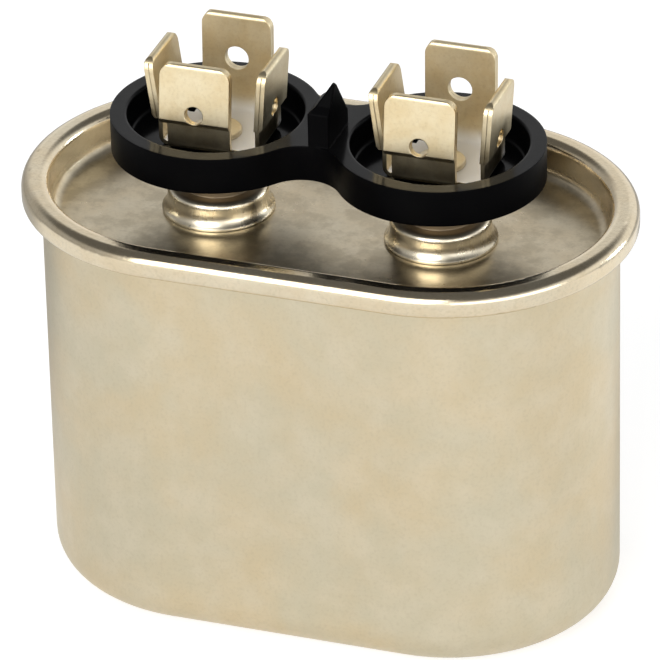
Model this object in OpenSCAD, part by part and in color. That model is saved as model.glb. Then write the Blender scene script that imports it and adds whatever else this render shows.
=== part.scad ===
// Oval metal-can motor run capacitor with two four-blade terminals.
// Z is up, X runs along the oval, the bottom of the can stands on z = 0.

/* [Can and cover] */
// Length of the oval can wall, outside
body_length = 51.4; // [40:0.1:80]
// Width of the oval can wall, outside
body_width = 29.9; // [24:0.1:50]
// Height from the foot to the crest of the seam
can_height = 38.3; // [30:0.1:120]
// Sheet the can is drawn from
can_sheet = 0.35; // [0.25:0.01:0.8]
// Sheet the cover is pressed from
cover_sheet = 0.35; // [0.25:0.01:0.8]
// Outside radius round the foot of the can
foot_radius = 3.2; // [1:0.1:6]
// Height of the double seam
seam_height = 2.2; // [1.8:0.05:4]
// Rounding of the seam crest on the outside
seam_round = 0.95; // [0.6:0.05:1.2]
// Rounding of the seam crest on the inside
seam_inner_round = 0.8; // [0.5:0.05:1]
// Rounding of the lower edge of the seam
seam_foot_round = 0.55; // [0.4:0.05:0.9]
// Sealing compound between the layers of the seam
seam_gap = 0.22; // [0.02:0.01:0.3]
// Depth of the cover below the seam crest
cover_depth = 3.5; // [2.6:0.1:6]
// Radius where the cover turns up into its wall
cover_radius = 1.0; // [0.4:0.05:1.5]
// Running room between the cover wall and the can
cover_fit = 0.04; // [0.01:0.01:0.2]

/* [Ferrules] */
// Distance between the two terminals
terminal_spacing = 20.4; // [18:0.1:40]
// Diameter of the ferrule collar
collar_diameter = 9.9; // [8:0.1:14]
// Height of the collar above the cover
collar_height = 2.45; // [2:0.05:5]
// Rounding of the top edge of the collar
collar_round = 0.6; // [0.2:0.05:0.8]
// Flare of the collar foot beyond its wall
collar_flare = 0.5; // [0.2:0.05:0.8]
// Height of the flare above the cover
flare_height = 1.35; // [0.8:0.05:1.6]
// Thickness of the lip round the flare
flare_lip = 0.25; // [0.15:0.05:0.4]
// Diameter of the ferrule neck
neck_diameter = 6.4; // [5:0.1:8]
// Wall of the ferrule neck
neck_wall = 0.8; // [0.3:0.05:1]
// Diameter of the flange under the cover
ferrule_flange = 8.6; // [7:0.1:12]
// Thickness of the flange under the cover
ferrule_flange_thickness = 0.4; // [0.2:0.05:1]
// Clearance of the neck in the cover hole
neck_fit = 0.05; // [0.01:0.01:0.3]

/* [Terminal cup] */
// Outside diameter of each ring
ring_diameter = 18.4; // [15:0.1:24]
// Wall of each ring
ring_wall = 1.5; // [0.8:0.1:2.5]
// Height of the rings
ring_height = 3.3; // [2:0.1:10]
// Floor inside the rings
cup_floor = 0.8; // [0.4:0.05:2]
// Height of the ring tops above the seam crest
ring_lift = 5.95; // [4:0.05:12]
// Rounding of the ring edges
ring_round = 0.25; // [0.05:0.05:0.5]
// Width of the bridge between the rings
bridge_width = 8.2; // [4:0.1:12]
// Width of the barrier post between the rings
post_width = 1.85; // [1:0.05:4]
// Sideways place of the barrier post
post_shift = 0.6; // [-1.5:0.05:1.5]
// Length of the post back from the front of the bridge
post_length = 5.2; // [2:0.1:8]
// Height of the front shoulder of the post above the rings
post_shoulder = 3.1; // [0.5:0.1:6]
// Height of the post tip above the rings
post_tip = 5.3; // [1:0.1:10]
// Height of the rear end of the post above the rings
post_rear = 1.3; // [0.2:0.1:4]
// Outside diameter of the sleeves that line the ferrules
sleeve_diameter = 4.7; // [4:0.05:6]
// Clearance of the sleeve in its ferrule
sleeve_fit = 0.05; // [0.01:0.01:0.3]

/* [Terminals] */
// Sheet the terminals are folded from
terminal_sheet = 0.38; // [0.3:0.01:0.6]
// Gap left inside the fold of a blade
fold_gap = 0.04; // [0.02:0.01:0.2]
// Width of each blade
blade_width = 6.35; // [4.8:0.05:9.5]
// Height of the rear blade above the rings
rear_blade_height = 7.1; // [5:0.1:14]
// Height of the other blades above the rings
blade_height = 5.75; // [4:0.1:14]
// Corner radius of the blade tips
tip_round = 1.15; // [0.3:0.05:2]
// Level above the rings where the folded layer ends
fold_end = 0.1; // [-1.5:0.1:3]
// Length of the bevel at the end of the folded layer
fold_bevel = 0.4; // [0.2:0.1:2]
// Outward lean of the rear blade
rear_lean = 2; // [0:0.5:12]
// Inward lean of the front blade
front_lean = 7; // [0:0.5:12]
// Outward lean of the left blade
left_lean = 7.5; // [0:0.5:12]
// Outward lean of the right blade
right_lean = 4.5; // [0:0.5:12]
// Distance between the left and right walls, over the sheet
base_length = 9.2; // [8:0.1:12]
// Distance between the front and rear walls, over the sheet
base_depth = 8.3; // [8:0.1:12]
// Sideways place of the terminal on its rivet
base_shift_x = 0.35; // [-1:0.05:1]
// Front to back place of the terminal on its rivet
base_shift_y = 0.5; // [-1:0.05:1]
// Sideways place of the front blade
front_blade_shift = -0.95; // [-1.5:0.05:1.5]
// Sideways place of the rear blade
rear_blade_shift = 0.1; // [-1.5:0.05:1.5]
// Width of the legs below the blades
leg_width = 5.7; // [3:0.1:8]
// Sideways place of the front leg
front_leg_shift = -0.65; // [-1.5:0.05:1.5]
// Bend radius at the foot of the walls
bend_radius = 0.4; // [0.2:0.05:0.8]
// Hole in the rear blade
rear_hole = 2.2; // [1.2:0.1:2.6]
// Distance from the tip to the hole of the rear blade
rear_hole_drop = 4.15; // [2.5:0.05:6]
// Hole in the other blades
blade_hole = 1.7; // [1:0.1:2.4]
// Distance from the tip to the hole of the other blades
blade_hole_drop = 4.6; // [2.5:0.05:5]

/* [Rivets and lugs] */
// Shank diameter of the terminal rivets
rivet_diameter = 3.0; // [2:0.05:4]
// Diameter of the rivet heads
rivet_head = 4.5; // [4.2:0.1:6]
// Height of the rivet heads
rivet_head_height = 0.4; // [0.3:0.05:1.5]
// Diameter of the blind hole in the rivets
rivet_eye = 1.8; // [1:0.1:2.2]
// Depth of the blind hole in the rivets
eye_depth = 1.6; // [0.5:0.1:3]
// Clearance of the rivet in its holes
rivet_fit = 0.04; // [0.01:0.01:0.2]
// Diameter of the insulating washers under the cover
washer_diameter = 10.4; // [9:0.1:14]
// Thickness of the insulating washers
washer_thickness = 1.0; // [0.5:0.05:2]
// Diameter of the eye of the solder lugs
lug_diameter = 6.6; // [5:0.1:9]
// Width of the tail of the solder lugs
lug_width = 4; // [2:0.1:6]
// Reach of the lug tail from the rivet
lug_reach = 8.4; // [5:0.1:9]
// Thickness of the solder lugs
lug_thickness = 0.5; // [0.3:0.05:1]
// Width of the lead straps
strap_width = 3.6; // [2:0.1:6]
// Thickness of the lead straps
strap_thickness = 0.25; // [0.1:0.05:0.4]
// Distance from the rivet tails to the straps
strap_offset = 0.4; // [0.2:0.05:1]
// Room round a strap in the top board
strap_room = 0.3; // [0.1:0.05:1]

/* [Winding] */
// Room between the can wall and the insulating sleeve
liner_fit = 0.15; // [0.05:0.05:0.5]
// Wall of the insulating sleeve
liner_wall = 0.5; // [0.2:0.05:1.5]
// Room between the sleeve and the winding
winding_room = 0.5; // [0.45:0.05:2]
// Thickness of the sprayed metal on each end
spray_thickness = 0.6; // [0.3:0.05:1.2]
// Half thickness of the flat core
core_radius = 1.6; // [1:0.1:4]
// Wall of the core
core_wall = 0.8; // [0.4:0.05:0.9]
// Thickness of the insulating board on top
top_board = 1.0; // [0.5:0.1:2]
// Thickness of the insulating board in the foot
foot_board = 1.0; // [0.5:0.1:2]
// Free height between the rivets and the top board
switch_room = 1.6; // [0.6:0.1:4]
// Clearance where a flat piece lies on another
lay_gap = 0.02; // [0.01:0.01:0.1]

/* [Hidden] */
$fn = 96;

spine = (body_length - body_width) / 2;
body_r = body_width / 2;
can_in_r = body_r - can_sheet;
hook_in_r = body_r + seam_gap;
hook_out_r = hook_in_r + cover_sheet;
flange_in_r = hook_out_r + seam_gap;
flange_out_r = flange_in_r + can_sheet;
skirt_in_r = flange_out_r + seam_gap;
rim_r = skirt_in_r + cover_sheet;
seam_foot = can_height - seam_height;
flange_top = can_height - cover_sheet - seam_gap;
flange_foot = seam_foot + cover_sheet + seam_gap;
hook_top = flange_top - can_sheet - seam_gap;
// inside rounding of the can's flange, which follows the crest
layer_round = max(0.05, seam_round - cover_sheet - seam_gap - can_sheet);
chuck_out_r = can_in_r - cover_fit;
chuck_in_r = chuck_out_r - cover_sheet;
cover_top = can_height - cover_depth;
cover_under = cover_top - cover_sheet;

ring_top = can_height + ring_lift;
ring_foot = ring_top - ring_height;
floor_top = ring_foot + cup_floor;
ring_r = ring_diameter / 2;
ring_in_r = ring_r - ring_wall;
half_spacing = terminal_spacing / 2;

ferrule_foot = cover_under - ferrule_flange_thickness - lay_gap;
ferrule_bore_r = neck_diameter / 2 - neck_wall;
collar_wall_r = collar_diameter / 2 - collar_flare;
sleeve_bore_r = rivet_diameter / 2 + rivet_fit;
washer_top = ferrule_foot - lay_gap;
washer_foot = washer_top - washer_thickness;
lug_top = washer_foot - lay_gap;
lug_foot = lug_top - lug_thickness;
rivet_tail_top = lug_foot - lay_gap;
rivet_foot = rivet_tail_top - rivet_head_height;
base_under = floor_top + lay_gap;
base_top = base_under + terminal_sheet;

top_board_top = rivet_foot - switch_room;
top_board_foot = top_board_top - top_board;
upper_spray_top = top_board_foot - strap_thickness - 2 * lay_gap;
winding_top = upper_spray_top - spray_thickness - lay_gap;
foot_board_foot = can_sheet + lay_gap;
foot_board_top = foot_board_foot + foot_board;
lower_spray_foot = foot_board_top + strap_thickness + 2 * lay_gap;
winding_foot = lower_spray_foot + spray_thickness + lay_gap;
liner_r = can_in_r - liner_fit;
liner_in_r = liner_r - liner_wall;
winding_r = liner_in_r - winding_room;
foot_in_r = foot_radius - can_sheet;
foot_flat_r = can_in_r - foot_in_r;
// lowest place where the sleeve clears the rounded foot
liner_foot = can_sheet + foot_in_r - sqrt(max(0, pow(foot_in_r, 2) - pow(foot_in_r - liner_fit, 2))) + liner_fit;
liner_top = washer_top - washer_thickness;
cut = 1;

metal = [0.76, 0.75, 0.72];
brass = [0.83, 0.72, 0.45];
black = [0.06, 0.06, 0.065];

// sweeps a profile (x outward, y up) round the oval
module oval_sweep() {
    for (s = [0, 1]) mirror([s, 0, 0]) {
        translate([spine, 0, 0]) rotate([0, 0, -90]) rotate_extrude(angle = 180) children();
    }
    for (s = [0, 1]) mirror([0, s, 0]) {
        translate([-spine, 0, 0]) rotate([90, 0, 90]) linear_extrude(height = 2 * spine) children();
    }
}

// plain oval outline of a given end radius
module oval(r) {
    for (s = [-1, 1]) translate([s * spine, 0]) circle(r);
    translate([-spine, -r]) square([2 * spine, 2 * r]);
}

// box from x0 to x1 and y0 to y1 with its own radius at each corner: foot left, foot right, top right, top left
module soft_box(x0, x1, y0, y1, fl, fr, tr, tl) {
    difference() {
        translate([x0, y0]) square([x1 - x0, y1 - y0]);
        corner_cut(x0, y0, fl, 1, 1);
        corner_cut(x1, y0, fr, -1, 1);
        corner_cut(x1, y1, tr, -1, -1);
        corner_cut(x0, y1, tl, 1, -1);
    }
}

module corner_cut(x, y, r, sx, sy) {
    if (r > 0) translate([x, y]) scale([sx, sy]) difference() {
        translate([-cut, -cut]) square([r + cut, r + cut]);
        translate([r, r]) circle(r);
    }
}

module can() {
    color(metal) oval_sweep() {
        difference() {
            soft_box(0, body_r, 0, flange_top - 2 * can_sheet, 0, foot_radius, 0, 0);
            soft_box(-cut, can_in_r, can_sheet, flange_top, 0, foot_in_r, 0, 0);
        }
        // flange turned out and down into the seam
        difference() {
            soft_box(can_in_r, flange_out_r, flange_foot, flange_top, 0, 0, layer_round + can_sheet, can_sheet * 0.9);
            soft_box(body_r, flange_in_r, flange_foot - cut, flange_top - can_sheet, 0, 0, layer_round, 0);
        }
    }
}

// cover with the seam hook rolled from its rim
module cover() {
    color(metal) {
        difference() {
            union() {
                oval_sweep() {
                    // dish with its wall that drops into the can
                    difference() {
                        soft_box(0, chuck_out_r, cover_under, can_height - seam_inner_round, 0, cover_radius + cover_sheet, 0, 0);
                        soft_box(-cut, chuck_in_r, cover_top, can_height, 0, cover_radius, 0, 0);
                    }
                    // crest, skirt and under-turn of the seam
                    difference() {
                        soft_box(chuck_in_r, rim_r, seam_foot, can_height, 0, seam_foot_round, seam_round, seam_inner_round);
                        soft_box(chuck_out_r, skirt_in_r, seam_foot + cover_sheet, can_height - cover_sheet, 0,
                            seam_foot_round - cover_sheet, seam_round - cover_sheet, seam_inner_round - cover_sheet);
                        translate([chuck_out_r, seam_foot - cut]) square([hook_in_r - chuck_out_r, 2 * cut]);
                    }
                    // hook that runs up inside the can's flange
                    soft_box(hook_in_r, hook_out_r, seam_foot, hook_top, cover_sheet * 0.6, 0, 0, 0);
                }
            }
            for (s = [-1, 1]) translate([s * half_spacing, 0, cover_under - cut])
                cylinder(h = cover_sheet + 2 * cut, d = neck_diameter + 2 * neck_fit);
        }
    }
}

module ferrule() {
    rise = flare_height - flare_lip;
    flare_r = (pow(rise, 2) + pow(collar_flare, 2)) / (2 * collar_flare);
    color(metal) rotate_extrude() {
        soft_box(ferrule_bore_r, collar_wall_r, cover_top + lay_gap, cover_top + collar_height, 0, 0, collar_round, 0);
        // foot that flares out to the lip
        difference() {
            translate([ferrule_bore_r, cover_top + lay_gap]) square([collar_diameter / 2 - ferrule_bore_r, flare_height - lay_gap]);
            translate([collar_wall_r + flare_r, cover_top + flare_height]) circle(flare_r);
        }
        soft_box(ferrule_bore_r, neck_diameter / 2, ferrule_foot, ring_foot - lay_gap, 0, 0, 0, 0);
        soft_box(ferrule_bore_r, ferrule_flange / 2, ferrule_foot, ferrule_foot + ferrule_flange_thickness, 0, ferrule_flange_thickness / 2, 0, 0);
    }
}

module left_ferrule() { translate([-half_spacing, 0, 0]) ferrule(); }
module right_ferrule() { translate([half_spacing, 0, 0]) ferrule(); }

// outline of both rings with the bridge filleted into them
module cup_outline() {
    half_bridge = bridge_width / 2;
    // fillet that touches both rings and the edge of the bridge
    fillet_r = (pow(half_spacing, 2) + pow(half_bridge, 2) - pow(ring_r, 2)) / (2 * (ring_r - half_bridge));
    difference() {
        union() {
            for (s = [-1, 1]) translate([s * half_spacing, 0]) circle(ring_r);
            touch_y = (half_bridge + fillet_r) * ring_r / (ring_r + fillet_r);
            touch_x = half_spacing - half_spacing * ring_r / (ring_r + fillet_r);
            translate([-touch_x, -touch_y]) square([2 * touch_x, 2 * touch_y]);
        }
        for (s = [-1, 1]) translate([0, s * (half_bridge + fillet_r)]) circle(fillet_r);
    }
}

module ring_bore() {
    rotate_extrude() {
        soft_box(0, ring_in_r, floor_top, ring_top + cut, 0, ring_round * 2, 0, 0);
        difference() {
            translate([0, ring_top - ring_round]) square([ring_in_r + ring_round, ring_round + cut]);
            translate([ring_in_r + ring_round, ring_top - ring_round]) circle(ring_round);
        }
    }
}

// barrier post, flush with the front of the bridge: a low shoulder on the left, a tip at the right and a slope down to the rear
module barrier_post() {
    shoulder_z = ring_top + post_shoulder;
    tip_z = ring_top + post_tip;
    front = -bridge_width / 2;
    tip_y = front + post_length * 0.4;
    translate([post_shift, 0, 0]) intersection() {
        translate([0, front + post_length, 0]) rotate([90, 0, 0]) linear_extrude(height = post_length)
            polygon([[-post_width / 2, ring_foot], [post_width / 2, ring_foot], [post_width / 2, tip_z - post_width * 0.15],
                [post_width * 0.44, tip_z], [post_width * 0.36, tip_z], [-post_width * 0.2, shoulder_z + post_width * 0.3],
                [-post_width / 2, shoulder_z]]);
        translate([-post_width / 2, 0, 0]) rotate([90, 0, 90]) linear_extrude(height = post_width)
            polygon([[front, ring_foot], [front + post_length, ring_foot], [front + post_length, ring_top + post_rear],
                [tip_y + post_length * 0.03, tip_z], [tip_y - post_length * 0.03, tip_z], [front + post_length * 0.12, shoulder_z + post_width * 0.3],
                [front, shoulder_z]]);
    }
}

module terminal_cup() {
    color(black) {
        difference() {
            union() {
                translate([0, 0, ring_foot]) linear_extrude(height = ring_height) cup_outline();
                barrier_post();
                for (s = [-1, 1]) translate([s * half_spacing, 0, washer_top + lay_gap])
                    cylinder(h = floor_top - washer_top - lay_gap, d = sleeve_diameter - 2 * sleeve_fit);
            }
            for (s = [-1, 1]) translate([s * half_spacing, 0, 0]) {
                ring_bore();
                translate([0, 0, washer_top - cut]) cylinder(h = floor_top - washer_top + 2 * cut, r = sleeve_bore_r);
            }
        }
    }
}

// side profile of one folded wall: x outward from its inner face, y up from the top of the base
module wall_profile(height, lean) {
    t = terminal_sheet;
    knee = ring_top + fold_end - base_top;
    // bend at the foot
    difference() {
        soft_box(-bend_radius - 2 * t, t, -t, knee, 0, bend_radius + t, 0, 0);
        soft_box(-bend_radius - 3 * t, 0, 0, knee + cut, 0, bend_radius, 0, 0);
    }
    translate([0, knee]) rotate(-lean) {
        top = height - knee;
        fold_r = t + fold_gap / 2;
        // inner and folded layers with the rolled tip
        difference() {
            union() {
                translate([0, -t * 0.2]) square([2 * fold_r, top - fold_r + t * 0.2]);
                translate([fold_r, top - fold_r]) circle(fold_r);
            }
            translate([t, -cut]) square([fold_gap, top - fold_r + cut]);
            translate([t, -cut]) square([2 * fold_r, cut]);
            // bevel on the end of the folded layer
            polygon([[t * 1.3 + fold_gap, -t * 0.01], [2 * fold_r + cut, -t * 0.01], [2 * fold_r + cut, fold_bevel], [2 * fold_r, fold_bevel]]);
        }
    }
}

// one wall with its blade, standing at the rear edge of the base and facing forward
module wall(height, lean, hole, hole_drop, leg_shift) {
    knee = ring_top + fold_end - base_top;
    difference() {
        intersection() {
            translate([-blade_width / 2, 0, base_top]) rotate([90, 0, 90]) linear_extrude(height = blade_width)
                wall_profile(height, lean);
            // tip corners
            translate([0, 3 * height, 0]) rotate([90, 0, 0]) linear_extrude(height = 6 * height)
                soft_box(-blade_width / 2, blade_width / 2, base_under - cut, base_top + knee + (height - knee) * cos(lean), 0, 0, tip_round, tip_round);
        }
        // detent hole
        translate([0, 0, base_top + knee]) rotate([-lean, 0, 0])
            translate([0, -cut, height - knee - hole_drop]) rotate([-90, 0, 0])
                cylinder(h = 2 * terminal_sheet + fold_gap + 2 * cut, d = hole);
        // leg narrower than the blade
        for (s = [0, 1]) translate([leg_shift, 0, 0]) mirror([s, 0, 0])
            translate([leg_width / 2, -base_depth, base_under - cut]) cube([blade_width, 2 * base_depth, knee + terminal_sheet + lay_gap + cut]);
    }
}

module terminal() {
    t = terminal_sheet;
    half_l = base_length / 2 - t;
    half_d = base_depth / 2 - t;
    rise = ring_top - base_top;
    color(brass) difference() {
        union() {
            translate([base_shift_x, base_shift_y, 0]) {
                // base with an arm to each wall
                translate([-half_l + bend_radius + t, -half_d + bend_radius + t, base_under])
                    cube([2 * (half_l - bend_radius - t), 2 * (half_d - bend_radius - t), t]);
                translate([-half_l + bend_radius, -leg_width / 2 - base_shift_y, base_under])
                    cube([2 * (half_l - bend_radius), leg_width, t]);
                translate([rear_blade_shift - leg_width / 2, 0, base_under])
                    cube([leg_width, half_d - bend_radius, t]);
                translate([front_leg_shift - leg_width / 2, -half_d + bend_radius, base_under])
                    cube([leg_width, half_d - bend_radius, t]);
                translate([rear_blade_shift, half_d, 0])
                    wall(rise + rear_blade_height, rear_lean, rear_hole, rear_hole_drop, 0);
                translate([front_blade_shift, -half_d, 0]) rotate([0, 0, 180])
                    wall(rise + blade_height, -front_lean, blade_hole, blade_hole_drop, front_blade_shift - front_leg_shift);
                translate([-half_l, -base_shift_y, 0]) rotate([0, 0, 90])
                    wall(rise + blade_height, left_lean, blade_hole, blade_hole_drop, 0);
                translate([half_l, -base_shift_y, 0]) rotate([0, 0, -90])
                    wall(rise + blade_height, right_lean, blade_hole, blade_hole_drop, 0);
            }
        }
        translate([0, 0, base_under - cut]) cylinder(h = t + 2 * cut, r = sleeve_bore_r);
    }
}

module left_terminal() { translate([-half_spacing, 0, 0]) terminal(); }
module right_terminal() { translate([half_spacing, 0, 0]) terminal(); }

// rivet from the terminal down through the cover, set over under the lug
module rivet() {
    head_foot = base_top + lay_gap;
    head_top = head_foot + rivet_head_height;
    color(metal) rotate_extrude() difference() {
        union() {
            soft_box(0, rivet_head / 2, head_foot, head_top, 0, 0, rivet_head_height * 0.6, 0);
            translate([0, rivet_foot]) square([rivet_diameter / 2, head_foot - rivet_foot + rivet_head_height / 2]);
            soft_box(0, rivet_head / 2, rivet_foot, rivet_tail_top, 0, rivet_head_height * 0.6, 0, 0);
        }
        translate([0, head_top - eye_depth]) square([rivet_eye / 2, eye_depth + cut]);
    }
}

module left_rivet() { translate([-half_spacing, 0, 0]) rivet(); }
module right_rivet() { translate([half_spacing, 0, 0]) rivet(); }

module insulating_washer() {
    color([0.45, 0.28, 0.16]) rotate_extrude()
        soft_box(sleeve_bore_r, washer_diameter / 2, washer_foot, washer_top, 0, 0, 0, 0);
}

module left_insulating_washer() { translate([-half_spacing, 0, 0]) insulating_washer(); }
module right_insulating_washer() { translate([half_spacing, 0, 0]) insulating_washer(); }

// lug with its tail toward the rear
module solder_lug() {
    color(brass) translate([0, 0, lug_foot]) linear_extrude(height = lug_thickness) difference() {
        union() {
            circle(d = lug_diameter);
            translate([-lug_width / 2, 0]) square([lug_width, lug_reach - lug_width / 2]);
            translate([0, lug_reach - lug_width / 2]) circle(d = lug_width);
        }
        circle(sleeve_bore_r);
    }
}

module left_solder_lug() { translate([-half_spacing, 0, 0]) rotate([0, 0, 180]) solder_lug(); }
module right_solder_lug() { translate([half_spacing, 0, 0]) solder_lug(); }

strap_top = lug_foot - lay_gap;
strap_start = rivet_head / 2 + strap_offset;

// strap from the left lug down through the top board to the upper end spray
module left_lead_strap() {
    drop_y = lug_reach - strap_thickness;
    color(metal) translate([-half_spacing, 0, 0]) rotate([0, 0, 180]) translate([-strap_width / 2, 0, 0]) {
        translate([0, strap_start, strap_top - strap_thickness]) cube([strap_width, drop_y - strap_start + strap_thickness, strap_thickness]);
        translate([0, drop_y, upper_spray_top + lay_gap]) cube([strap_width, strap_thickness, strap_top - upper_spray_top - lay_gap]);
        translate([0, drop_y - strap_width, upper_spray_top + lay_gap]) cube([strap_width, strap_width, strap_thickness]);
    }
}

// strap from the right lug over the winding, down its flat side and under it
module right_lead_strap() {
    side_y = (winding_r + liner_in_r - strap_thickness) / 2;
    low_z = lower_spray_foot - lay_gap - strap_thickness;
    // the drop stays on the flat side of the oval
    drop_x = min(half_spacing, spine - strap_width / 2) - strap_width / 2;
    color(metal) {
        translate([drop_x, strap_start, strap_top - strap_thickness])
            cube([half_spacing + strap_width / 2 - drop_x, lug_reach - strap_start, strap_thickness]);
        translate([drop_x, strap_start, strap_top - strap_thickness]) cube([strap_width, side_y - strap_start + strap_thickness, strap_thickness]);
        translate([drop_x, side_y, low_z]) cube([strap_width, strap_thickness, strap_top - low_z]);
        translate([drop_x, side_y - 2 * strap_width, low_z]) cube([strap_width, 2 * strap_width, strap_thickness]);
    }
}

module top_board_insulator() {
    color([0.78, 0.66, 0.45]) translate([0, 0, top_board_foot]) linear_extrude(height = top_board) difference() {
        oval(winding_r);
        translate([-half_spacing - strap_width / 2 - strap_room, -lug_reach - strap_room])
            square([strap_width + 2 * strap_room, strap_thickness + 2 * strap_room]);
    }
}

module winding_layer(foot, top) {
    translate([0, 0, foot]) linear_extrude(height = top - foot) difference() {
        oval(winding_r);
        oval(core_radius + lay_gap);
    }
}

module upper_end_spray() {
    color([0.6, 0.6, 0.62]) winding_layer(winding_top + lay_gap, upper_spray_top);
}

module film_winding() {
    color([0.86, 0.87, 0.85]) winding_layer(winding_foot, winding_top);
}

module lower_end_spray() {
    color([0.6, 0.6, 0.62]) winding_layer(lower_spray_foot, winding_foot - lay_gap);
}

module winding_core() {
    color([0.9, 0.9, 0.88]) translate([0, 0, lower_spray_foot]) linear_extrude(height = upper_spray_top - lower_spray_foot) difference() {
        oval(core_radius);
        oval(core_radius - core_wall);
    }
}

module foot_board_insulator() {
    color([0.78, 0.66, 0.45]) translate([0, 0, foot_board_foot]) linear_extrude(height = foot_board)
        oval(foot_flat_r - liner_fit);
}

module insulating_sleeve() {
    color([0.9, 0.88, 0.8]) translate([0, 0, liner_foot]) linear_extrude(height = liner_top - liner_foot) difference() {
        oval(liner_r);
        oval(liner_in_r);
    }
}

can();
cover();
left_ferrule();
right_ferrule();
terminal_cup();
left_terminal();
right_terminal();
left_rivet();
right_rivet();
left_insulating_washer();
right_insulating_washer();
left_solder_lug();
right_solder_lug();
left_lead_strap();
right_lead_strap();
top_board_insulator();
upper_end_spray();
film_winding();
winding_core();
lower_end_spray();
foot_board_insulator();
insulating_sleeve();
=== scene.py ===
import math

import bpy
from mathutils import Matrix, Vector

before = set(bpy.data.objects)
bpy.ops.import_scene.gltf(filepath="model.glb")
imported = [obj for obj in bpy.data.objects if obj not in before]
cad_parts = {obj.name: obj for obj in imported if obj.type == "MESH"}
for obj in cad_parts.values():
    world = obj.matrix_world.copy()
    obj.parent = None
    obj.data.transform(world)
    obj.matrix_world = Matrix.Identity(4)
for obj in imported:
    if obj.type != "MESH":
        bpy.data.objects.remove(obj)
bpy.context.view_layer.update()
print("frame loaded", len(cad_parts), "nodes")

view = {
    "turn": 19.496,        # degrees round the part, to the right of straight ahead
    "height": 29.608,      # degrees above the floor
    "roll": -1.348,
    "distance": 0.58965,   # metres from the aim point
    "aimSide": -0.000177,
    "aimHeight": 0.020844,
    "lens": 359.29,
    "sensor": 36,
    "clip": (0.01, 20),
}


# unit vector from the part towards a place given by its turn and height in degrees
def towards(turn, height):
    turn, height = math.radians(turn), math.radians(height)
    return Vector((math.sin(turn) * math.cos(height), -math.cos(turn) * math.cos(height), math.sin(height)))


def placeCamera():
    turn, roll = math.radians(view["turn"]), math.radians(view["roll"])
    back = towards(view["turn"], view["height"])
    side = Vector((math.cos(turn), math.sin(turn), 0))
    up = side.cross(-back)
    tiltSide = side * math.cos(roll) + up * math.sin(roll)
    tiltUp = up * math.cos(roll) - side * math.sin(roll)
    place = back * view["distance"] + side * view["aimSide"] + up * view["aimHeight"]
    data = bpy.data.cameras.new("camera")
    data.sensor_width = view["sensor"]
    data.lens = view["lens"]
    data.clip_start, data.clip_end = view["clip"]
    camera = bpy.data.objects.new("camera", data)
    camera.matrix_world = Matrix((
        (tiltSide.x, tiltUp.x, back.x, place.x),
        (tiltSide.y, tiltUp.y, back.y, place.y),
        (tiltSide.z, tiltUp.z, back.z, place.z),
        (0, 0, 0, 1)))
    bpy.context.scene.collection.objects.link(camera)
    bpy.context.scene.camera = camera


placeCamera()
print("camera placed")


# a number in a shader: each operation adds a Math node
class Num:
    def __init__(self, look, socket):
        self.look = look
        self.socket = socket

    def math(self, operation, other, flip=False):
        parts = [other, self] if flip else [self, other]
        return self.look.add("ShaderNodeMath", {"operation": operation}, dict(enumerate(parts)))

    def __add__(self, other): return self.math("ADD", other)
    def __radd__(self, other): return self.math("ADD", other, flip=True)
    def __sub__(self, other): return self.math("SUBTRACT", other)
    def __rsub__(self, other): return self.math("SUBTRACT", other, flip=True)
    def __mul__(self, other): return self.math("MULTIPLY", other)
    def __rmul__(self, other): return self.math("MULTIPLY", other, flip=True)

    def clamped(self): return self.look.add("ShaderNodeClamp", {}, {0: self})

    def between(self, low, high):
        # 0 at low, 1 at high, smooth in between
        return self.look.add("ShaderNodeMapRange", {"interpolation_type": "SMOOTHSTEP"}, {0: self, 1: low, 2: high})


class Look:
    def __init__(self, tree):
        self.tree = tree

    # any node: its type, its settings, its sockets; gives back one output
    def add(self, kind, settings=None, sockets=None, out=0):
        node = self.tree.nodes.new(kind)
        for key, value in (settings or {}).items():
            setattr(node, key, value)
        for key, value in (sockets or {}).items():
            socket = node.inputs[key]
            if isinstance(value, Num):
                self.tree.links.new(value.socket, socket)
            elif isinstance(value, (tuple, list)) and len(value) == 3 and socket.type == "RGBA":
                socket.default_value = (*value, 1)
            else:
                socket.default_value = value
        return Num(self, node.outputs[out])

    def place(self): return self.add("ShaderNodeTexCoord", out="Object")

    def part(self, vector, axis): return self.add("ShaderNodeSeparateXYZ", {}, {0: vector}, out=axis)

    def stretch(self, vector, scale): return self.add("ShaderNodeMapping", {}, {"Vector": vector, "Scale": scale})

    def noise(self, vector, scale, detail=3, rough=0.5, bend=0.0):
        return self.add("ShaderNodeTexNoise", {}, {
            "Vector": vector, "Scale": scale, "Detail": detail, "Roughness": rough, "Distortion": bend})

    def colour(self, factor, first, second):
        return self.add("ShaderNodeMix", {"data_type": "RGBA"}, {0: factor, 6: first, 7: second}, out=2)

    def bump(self, height, strength, depth, normal):
        return self.add("ShaderNodeBump", {}, {
            "Height": height, "Strength": strength, "Distance": depth, "Normal": normal})


def newMaterial(name):
    material = bpy.data.materials.new(name)
    material.use_nodes = True
    material.node_tree.nodes.clear()
    return material, Look(material.node_tree)


def finishMaterial(look, shader, kind="ShaderNodeOutputMaterial"):
    output = look.tree.nodes.new(kind)
    look.tree.links.new(shader.socket, output.inputs[0])


xAxis, yAxis, zAxis = 0, 1, 2
white = (1, 1, 1)
toMillimetres = 1000

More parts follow.
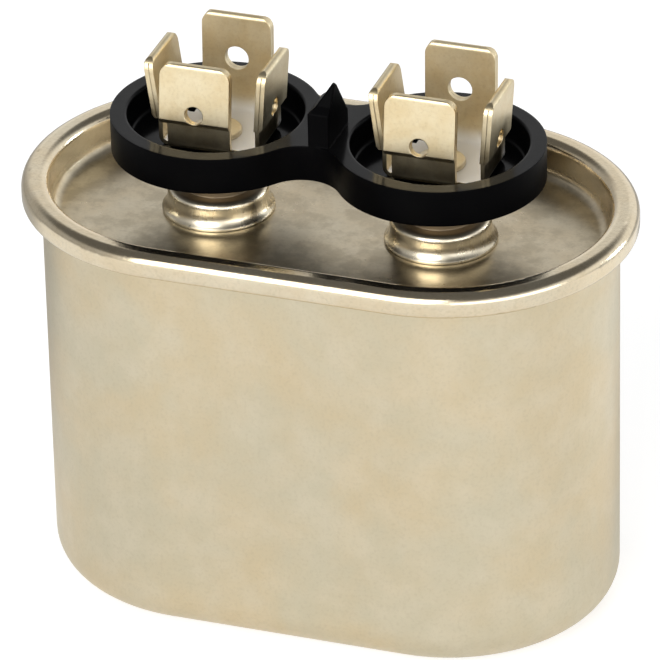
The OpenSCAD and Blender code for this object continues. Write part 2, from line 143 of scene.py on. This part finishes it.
floor = {
    "size": 6.0,
    "colour": (0.55, 0.55, 0.55),
    "glow": 0.66,                # what the camera sees added to the lit colour
    "front": 0.50,               # the floor as metal sees it, in front of the part
    "behind": 0.02,              # behind it, hardly glowing: a painted shadow of the part
    "right": 0.62,               # and behind it on the right, glowing brighter: a painted pool of light
    "turnBack": (-0.005, 0.030),  # where the front goes over into what lies behind
    "rightStart": (0.026, 0.038),
    "rightEnd": (0.09, 0.15),
}
studio = {
    "strength": 0.34,         # what the surroundings give as light
    "belt": (0.42, 0.66),     # sine of the height where the bright belt ends and the dark ceiling begins
    "ceiling": 0.13,
    "leftSide": 0.35,         # the belt on the left, as metal sees it
    "leftRange": (0.35, 0.8),
}
lamps = {
    # name: turn to the right, height, distance, size, power, colour, seen in metal
    "front": (-8, 31, 0.70, (0.48, 0.50), 3.1, (1.0, 0.99, 0.97), True),
    "right": (52, 13, 0.75, (0.90, 0.20), 1.5, (1.0, 0.99, 0.97), True),
    "backRight": (128, 8, 0.55, (0.12, 0.10), 0.50, (0.86, 0.93, 1.0), True),
    "backFill": (170, 45, 0.80, (0.60, 0.40), 1.4, white, False),
    "leftFill": (-100, 35, 0.80, (0.40, 0.40), 0.6, white, False),
}


def seenRays(look):
    camera = look.add("ShaderNodeLightPath", out="Is Camera Ray")
    glossy = look.add("ShaderNodeLightPath", out="Is Glossy Ray")
    through = look.add("ShaderNodeLightPath", out="Is Transmission Ray")
    return camera, (glossy + through).clamped()


def makeFloor():
    mesh = bpy.data.meshes.new("floor")
    h = floor["size"] / 2
    mesh.from_pydata([(-h, -h, 0), (h, -h, 0), (h, h, 0), (-h, h, 0)], [], [(0, 1, 2, 3)])
    sheet = bpy.data.objects.new("floor", mesh)
    bpy.context.scene.collection.objects.link(sheet)
    material, look = newMaterial("paleFloor")
    diffuse = look.add("ShaderNodeBsdfDiffuse", {}, {"Color": floor["colour"]})
    camera, mirrored = seenRays(look)
    across = look.part(look.place(), xAxis)
    depth = look.part(look.place(), yAxis)
    # painted light and shade on the floor as metal sees it: a shadow behind the part, a pool of light behind it on the
    # right
    right = across.between(*floor["rightStart"]) * (1 - depth.between(*floor["rightEnd"]))
    rear = floor["behind"] + right * (floor["right"] - floor["behind"])
    metalSees = floor["front"] + depth.between(*floor["turnBack"]) * (rear - floor["front"])
    glow = look.add("ShaderNodeEmission", {}, {
        "Color": white, "Strength": camera * floor["glow"] + mirrored * metalSees})
    finishMaterial(look, look.add("ShaderNodeAddShader", {}, {0: diffuse, 1: glow}))
    mesh.materials.append(material)


def makeWorld():
    world = bpy.data.worlds.new("studio")
    world.use_nodes = True
    world.node_tree.nodes.clear()
    look = Look(world.node_tree)
    camera, mirrored = seenRays(look)
    way = look.add("ShaderNodeTexCoord", out="Generated")
    leftward = (0 - look.part(way, xAxis)).between(*studio["leftRange"])
    belt = (1 - look.part(way, zAxis).between(*studio["belt"])) * (1 - leftward * (1 - studio["leftSide"]))
    metalSees = belt * (1 - studio["ceiling"]) + studio["ceiling"]
    light = studio["strength"] + mirrored * (metalSees - studio["strength"])
    strength = light + camera * (1 - light)
    sky = look.add("ShaderNodeBackground", {}, {"Color": white, "Strength": strength})
    finishMaterial(look, sky, "ShaderNodeOutputWorld")
    bpy.context.scene.world = world


def makeLamps():
    for name, (turn, height, distance, size, power, colour, inMetal) in lamps.items():
        data = bpy.data.lights.new(name, "AREA")
        data.shape = "RECTANGLE"
        data.size, data.size_y = size
        data.energy = power
        data.color = colour
        lamp = bpy.data.objects.new(name, data)
        lamp.location = towards(turn, height) * distance
        lamp.rotation_euler = lamp.location.to_track_quat("Z", "Y").to_euler()
        lamp.visible_glossy = inMetal
        bpy.context.scene.collection.objects.link(lamp)


bpy.context.scene.view_settings.view_transform = "Standard"
makeFloor()
makeWorld()
makeLamps()
print("stage and lamps ready")


# distance from the origin along one axis in mm; along z it is the height above the foot
def along(look, axis): return look.part(look.place(), axis) * toMillimetres


def facing(look, axis): return look.part(look.add("ShaderNodeNewGeometry", out="Normal"), axis)


def rounded(look, radius): return look.add("ShaderNodeBevel", {"samples": 6}, {"Radius": radius})


def tinMetal(name, tune):
    material, look = newMaterial(name)
    place = look.place()
    cloud = look.noise(place, tune["cloudScale"], 4, 0.55, 0.3)
    blotch = look.noise(place, tune["blotchScale"], 3, 0.6)
    speck = look.noise(place, tune["speckScale"], 2, 0.6)
    grain = look.noise(look.stretch(place, tune["grainStretch"]), tune["grainScale"], 2, 0.6)
    tone = look.colour(cloud.between(0.32, 0.68), tune["warm"], tune["cool"])
    tone = look.colour(blotch.between(0.35, 0.75) * tune["blotchMix"], tone, tune["pale"])
    tone = look.colour(speck.between(0.45, 0.75) * tune["speckMix"], tone, tune["dark"])
    if tune.get("paintedRecessShade"):   # painted shade in the recess, broken into patches: darker below this height
        low, high, amount = tune["paintedRecessShade"]
        patch = look.noise(place, tune["paintedRecessShadeScale"], 4, 0.65)
        below = 1 - along(look, zAxis).between(low, high)
        tone = look.colour(below * patch.between(0.4, 0.62) * amount, tone, tune["dark"])
    rough = tune["rough"] + (cloud - 0.5) * tune["roughSpread"] + (grain - 0.5) * tune["roughSpread"]
    if tune.get("polish"):   # smoother above this height
        low, high, amount = tune["polish"]
        rough = rough - along(look, zAxis).between(low, high) * amount
    metal = tune["metal"]
    if tune.get("foot"):   # painted light: low down, the blades' upward faces and their rear turn near-white and matt where strong light falls; the rear is also duller higher up
        low, high, colour, matt = tune["foot"]
        deep = along(look, yAxis).between(*tune["rear"])
        paintedLightSeat = (facing(look, zAxis).between(0.3, 0.8) + deep).clamped() * (1 - along(look, zAxis).between(low, high))
        tone = look.colour(paintedLightSeat, tone, colour)
        rough = rough + paintedLightSeat * tune["dull"]
        metal = metal - paintedLightSeat * matt - deep * (1 - paintedLightSeat) * tune["rearMatt"]
    if tune.get("shade"):   # painted shade: darker above this height
        low, high, colour = tune["shade"]
        above = along(look, zAxis).between(low, high)
        tone = look.colour(above, tone, colour)
        rough = rough + above * tune["dull"]
    normal = look.bump(grain * 0.4 + speck * 0.6, tune["bump"], tune["bumpDepth"], rounded(look, tune["edge"]))
    shader = look.add("ShaderNodeBsdfPrincipled", {}, {
        "Base Color": tone, "Metallic": metal, "Roughness": rough.clamped(), "Normal": normal})
    finishMaterial(look, shader)
    return material


canTin = {
    "warm": (0.645, 0.54, 0.36), "cool": (0.60, 0.545, 0.405), "pale": (0.72, 0.645, 0.50), "dark": (0.44, 0.37, 0.25),
    "cloudScale": 95, "blotchScale": 294.5, "blotchMix": 0.4, "speckScale": 3400, "speckMix": 0.18,
    "grainStretch": (1, 1, 0.25), "grainScale": 1500, "metal": 1.0, "rough": 0.40, "roughSpread": 0.10, "dull": 0.2,
    "bump": 0.25, "bumpDepth": 0.00006, "edge": 0.0002,
    "shade": (35.55, 36.05, (0.36, 0.30, 0.20)),   # painted shadow: a dark band on the can just under the seam's lower edge
}
# the cover gets patchy painted shade low in its lid recess
coverTin = dict(
    canTin, warm=(0.74, 0.62, 0.43), cool=(0.72, 0.64, 0.48), pale=(0.82, 0.74, 0.58), cloudScale=110,
    blotchScale=341, rough=0.30, bump=0.15, shade=None, paintedRecessShade=(34.9, 36.4, 0.5), paintedRecessShadeScale=420,
    polish=(35.2, 37.2, 0.12))
# the ferrule is darkened with painted shade above 37 mm, on its top and neck under the cup
ferruleTin = dict(
    canTin, warm=(0.80, 0.70, 0.50), cool=(0.84, 0.77, 0.62), pale=(0.88, 0.83, 0.70), speckMix=0.12,
    rough=0.28, bump=0.05, shade=(37.0, 37.25, (0.34, 0.27, 0.18)))
rivetTin = dict(ferruleTin, rough=0.4, metal=0.6, shade=None)
# the blades' pale low seat is painted light
bladeTin = dict(
    canTin, warm=(0.74, 0.60, 0.36), cool=(0.78, 0.67, 0.45), pale=(0.86, 0.77, 0.56), dark=(0.50, 0.38, 0.20),
    cloudScale=260, blotchScale=806, speckMix=0.22, grainStretch=(1, 0.4, 0.4), rough=0.34, bump=0.06,
    edge=0.0001, shade=None, foot=(42.4, 44.0, (0.99, 0.97, 0.92), 0.85), rear=(1.5, 2.5), rearMatt=0.3)
leadTin = dict(
    canTin, warm=(0.70, 0.67, 0.60), cool=(0.66, 0.65, 0.62), pale=(0.76, 0.74, 0.70), rough=0.42, shade=None)

canLook = tinMetal("canTin", canTin)
coverLook = tinMetal("coverTin", coverTin)
ferruleLook = tinMetal("ferruleTin", ferruleTin)
rivetLook = tinMetal("rivetTin", rivetTin)
bladeLook = tinMetal("bladeTin", bladeTin)
leadLook = tinMetal("leadTin", leadTin)
print("metals ready")


def blackPlastic(name, tune):
    material, look = newMaterial(name)
    place = look.place()
    cloud = look.noise(place, tune["cloudScale"], 3, 0.5)
    haze = look.noise(place, tune["hazeScale"], 3, 0.6)
    tone = look.colour(haze.between(0.4, 0.8) * tune["hazeMix"], tune["colour"], tune["dusty"])
    rough = tune["rough"] + (cloud - 0.5) * tune["roughSpread"]
    top = facing(look, zAxis).between(0.6, 0.95) * tune["topGloss"] * (0.7 + cloud * 0.6)
    grain = look.noise(place, tune["grainScale"], 2, 0.5)
    normal = look.bump(grain, tune["bump"], tune["bumpDepth"], rounded(look, tune["edge"]))
    shader = look.add("ShaderNodeBsdfPrincipled", {}, {
        "Base Color": tone, "Roughness": rough.clamped(), "Specular IOR Level": tune["gloss"], "Normal": normal,
        "Coat Weight": top.clamped(), "Coat Roughness": tune["coatRough"]})
    finishMaterial(look, shader)
    return material


cupPlastic = {
    "colour": (0.0015, 0.0015, 0.0018), "dusty": (0.0035, 0.0035, 0.004), "hazeScale": 120, "hazeMix": 0.6,
    "cloudScale": 350, "grainScale": 1400, "rough": 0.36, "roughSpread": 0.12, "gloss": 0.025,
    "topGloss": 0.34,   # clear coat on what faces up
    "coatRough": 0.12, "bump": 0.12, "bumpDepth": 0.00005, "edge": 0.00025,
}

cupLook = blackPlastic("cupPlastic", cupPlastic)
print("cup ready")


# boards, paper, film, sprayed metal and moulded plastic inside the can
def dullSolid(name, tune):
    material, look = newMaterial(name)
    place = look.place()
    grain = look.noise(look.stretch(place, tune["grainStretch"]), tune["grainScale"], 3, 0.6)
    cloud = look.noise(place, tune["cloudScale"], 3, 0.5)
    tone = look.colour((cloud * 0.5 + grain * 0.5).between(0.35, 0.65), tune["first"], tune["second"])
    rough = tune["rough"] + (grain - 0.5) * tune["roughSpread"]
    normal = look.bump(grain, tune["bump"], tune["bumpDepth"], rounded(look, tune["edge"]))
    shader = look.add("ShaderNodeBsdfPrincipled", {}, {
        "Base Color": tone, "Metallic": tune["metal"], "Roughness": rough.clamped(), "Normal": normal})
    finishMaterial(look, shader)
    return material


pressboard = {
    "first": (0.45, 0.32, 0.18), "second": (0.36, 0.25, 0.13), "cloudScale": 120, "grainStretch": (1, 1, 1),
    "grainScale": 1800, "metal": 0.0, "rough": 0.85, "roughSpread": 0.15, "bump": 0.3, "bumpDepth": 0.00005,
    "edge": 0.0001,
}
sleevePaper = dict(
    pressboard, first=(0.52, 0.38, 0.22), second=(0.44, 0.31, 0.17), grainStretch=(1, 1, 0.2), rough=0.78)
laminate = dict(
    pressboard, first=(0.30, 0.15, 0.06), second=(0.22, 0.10, 0.04), grainStretch=(0.3, 1, 1), rough=0.5, bump=0.1)
filmRoll = dict(
    pressboard, first=(0.74, 0.75, 0.77), second=(0.63, 0.64, 0.67), grainStretch=(1, 1, 0.05), grainScale=2600,
    metal=0.7, rough=0.32, bump=0.1)
sprayedZinc = dict(
    pressboard, first=(0.50, 0.51, 0.53), second=(0.38, 0.39, 0.41), grainScale=1300, metal=0.8, rough=0.72, bump=0.6)
corePlastic = dict(
    pressboard, first=(0.72, 0.70, 0.64), second=(0.66, 0.64, 0.58), grainStretch=(1, 1, 0.3), grainScale=700,
    rough=0.48, bump=0.08)

boardLook = dullSolid("pressboard", pressboard)
sleeveLook = dullSolid("sleevePaper", sleevePaper)
laminateLook = dullSolid("laminate", laminate)
filmLook = dullSolid("filmRoll", filmRoll)
zincLook = dullSolid("sprayedZinc", sprayedZinc)
coreLook = dullSolid("corePlastic", corePlastic)
print("inner looks ready")

looksByNode = {
    "can": canLook, "cover": coverLook, "terminal_cup": cupLook,
    "left_ferrule": ferruleLook, "right_ferrule": ferruleLook,
    "left_terminal": bladeLook, "right_terminal": bladeLook,
    "left_rivet": rivetLook, "right_rivet": rivetLook,
    "left_insulating_washer": laminateLook, "right_insulating_washer": laminateLook,
    "left_solder_lug": leadLook, "right_solder_lug": leadLook,
    "left_lead_strap": leadLook, "right_lead_strap": leadLook,
    "top_board_insulator": boardLook, "foot_board_insulator": boardLook,
    "upper_end_spray": zincLook, "lower_end_spray": zincLook,
    "film_winding": filmLook, "winding_core": coreLook, "insulating_sleeve": sleeveLook,
}


def dressNodes():
    for name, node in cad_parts.items():
        for place in node.material_slots:
            place.material = looksByNode[name]


dressNodes()
print("nodes dressed")
